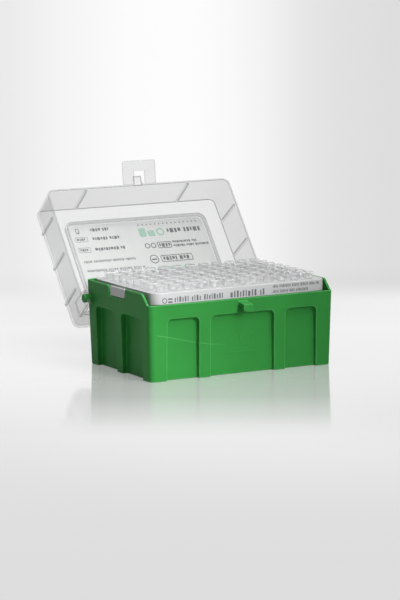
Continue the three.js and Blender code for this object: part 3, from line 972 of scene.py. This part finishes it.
def painted_floor(tree, path, place, colour):
    """A floor that takes light near the box, and further off shows its colour, a painted light and shade, as
    it is.
    """
    lit = tree.nodes.new("ShaderNodeBsdfDiffuse")
    soaked = maths(tree, "MULTIPLY", path.outputs["Is Diffuse Ray"], FLOOR_SOAK)
    tree.links.new(mix_colours(tree, soaked, colour, (0, 0, 0, 1)), lit.inputs["Color"])
    painted = tree.nodes.new("ShaderNodeEmission")
    tree.links.new(colour, painted.inputs["Color"])
    reach = tree.nodes.new("ShaderNodeVectorMath")
    reach.operation = "LENGTH"
    tree.links.new(place, reach.inputs[0])
    away = step_between(tree, reach.outputs["Value"], PAINT_BEGINS, PAINT_FULL, PAINT_AT_BOX, 1.0)
    share = maths(tree, "MULTIPLY", seen_share(tree, path), away)
    return mix_shaders(tree, share, lit.outputs[0], painted.outputs[0])


def studio_floor_material():
    """A pale table with a paler wall behind it, painted on one floor with their light and shade, and a soft
    mirror near the box.
    """
    material = bpy.data.materials.new("studio_floor")
    material.use_nodes = True
    tree = material.node_tree
    tree.nodes.remove(tree.nodes["Principled BSDF"])
    place = tree.nodes.new("ShaderNodeTexCoord").outputs["Object"]
    path = tree.nodes.new("ShaderNodeLightPath")
    down, aside = floor_bearings(tree, place)
    down_scaled = maths(tree, "MULTIPLY", down, DOWN_SCALE)
    aside_scaled = maths(tree, "MULTIPLY_ADD", aside, ASIDE_SCALE, ASIDE_MIDDLE)
    table = ramp(tree, down_scaled, TABLE_TONES)
    wall = ramp(tree, aside_scaled, WALL_TONES)
    colour = mix_colours(tree, step_between(tree, down, *WALL_MEETS_TABLE), wall, table)
    surface = painted_floor(tree, path, place, colour)
    mirror = tree.nodes.new("ShaderNodeBsdfGlossy")
    mirror.inputs["Color"].default_value = (1, 1, 1, 1)
    mirror.inputs["Roughness"].default_value = MIRROR_ROUGHNESS
    shine = ramp(tree, down_scaled, FLOOR_SHINE)
    share = maths(tree, "MULTIPLY", shine, path.outputs["Is Camera Ray"])
    mirrored = mix_shaders(tree, share, surface, mirror.outputs[0])
    tree.links.new(mirrored, tree.nodes["Material Output"].inputs["Surface"])
    return material


def studio_floor():
    """A wide disc just under the box."""
    middle = (0, 0, -FLOOR_DROP)
    bpy.ops.mesh.primitive_circle_add(vertices=64, radius=FLOOR_RADIUS, fill_type="NGON", location=middle)
    floor = bpy.context.object
    floor.name = "floor"
    settle(floor)
    floor.data.materials.append(studio_floor_material())


def studio_camera():
    data = bpy.data.cameras.new("camera")
    data.lens = LENS
    data.sensor_width = SENSOR_WIDTH
    data.clip_start = NEAREST_SEEN
    data.clip_end = FARTHEST_SEEN
    camera = bpy.data.objects.new("camera", data)
    bpy.context.scene.collection.objects.link(camera)
    back = camera_back()
    camera.location = AIM + back * CAMERA_DISTANCE
    level = (-back).to_track_quat("-Z", "Y")
    camera.rotation_mode = "QUATERNION"
    camera.rotation_quaternion = level @ Quaternion((0, 0, 1), CAMERA_ROLL)
    bpy.context.scene.camera = camera


def softbox(name, place, aim, size, power, spread=180, mirrored=True):
    """A square lamp that the camera does not see; mirrored says whether reflections show it."""
    data = bpy.data.lights.new(name, "AREA")
    data.size = size
    data.energy = power
    data.spread = math.radians(spread)
    lamp = bpy.data.objects.new(name, data)
    bpy.context.scene.collection.objects.link(lamp)
    lamp.location = place
    lamp.rotation_euler = (Vector(aim) - Vector(place)).to_track_quat("-Z", "Y").to_euler()
    lamp.visible_camera = False
    lamp.visible_glossy = mirrored


def studio_world():
    """A weak white sky as light, and a pale one wherever it is seen."""
    world = bpy.data.worlds.new("studio")
    world.use_nodes = True
    tree = world.node_tree
    sky = tree.nodes["Background"]
    sky.inputs["Color"].default_value = (1, 1, 1, 1)
    sky.inputs["Strength"].default_value = SKY_LIGHT
    seen = tree.nodes.new("ShaderNodeBackground")
    seen.inputs["Color"].default_value = (SKY_SEEN, SKY_SEEN, SKY_SEEN, 1)
    share = seen_share(tree, tree.nodes.new("ShaderNodeLightPath"))
    both = mix_shaders(tree, share, sky.outputs[0], seen.outputs[0])
    tree.links.new(both, tree.nodes["World Output"].inputs["Surface"])
    bpy.context.scene.world = world


def studio():
    studio_floor()
    softbox("key", place=(0.02, -0.56, 0.24), aim=(-0.165, -0.04, 0.0), size=0.25, power=0.345, spread=42)
    softbox("top", place=(0.12, -0.5, 1.0), aim=(0, 0, 0.05), size=0.7, power=5.2)
    softbox("over", place=(0, 0.05, 1.1), aim=(0, 0, 0.05), size=0.6, power=2.2, mirrored=False)
    studio_world()
    studio_camera()
    bpy.context.scene.view_settings.view_transform = "Standard"


# ---- The whole scene ----


def moulded_parts(groups):
    """The pieces of the CAD model again, in their plastics."""
    green = green_plastic(groups)
    clear = lid_plastic(groups)
    panel_emblem(box_body(green), green)
    rack_tray(white_plastic(groups))
    clear_lid(clear)
    latch_flap(clear)
    lid_label(label_paper(groups))
    rack_of_tips(tip_plastic(groups))


def printed_marks(groups):
    """The print on the tray's front and on the label."""
    tray_print(ink(groups, "grey_ink", (0.1, 0.105, 0.12, 1), (0.17, 0.175, 0.19, 1)))
    label_print(
        dark=ink(groups, "label_ink", (0.02, 0.02, 0.022, 1), (0.04, 0.04, 0.045, 1)),
        pale=ink(groups, "pale_ink", (0.2, 0.2, 0.2, 1), (0.3, 0.3, 0.3, 1)),
        green=ink(groups, "green_ink", (0.36, 0.68, 0.5, 1), (0.46, 0.74, 0.58, 1)),
    )


def main():
    groups = {
        "tone": moulded_tone_group(),
        "edge": painted_edge_tone_group(),
        "grain": moulded_grain_group(),
        "flow": flow_line_group(),
    }
    moulded_parts(groups)
    printed_marks(groups)
    studio()


main()
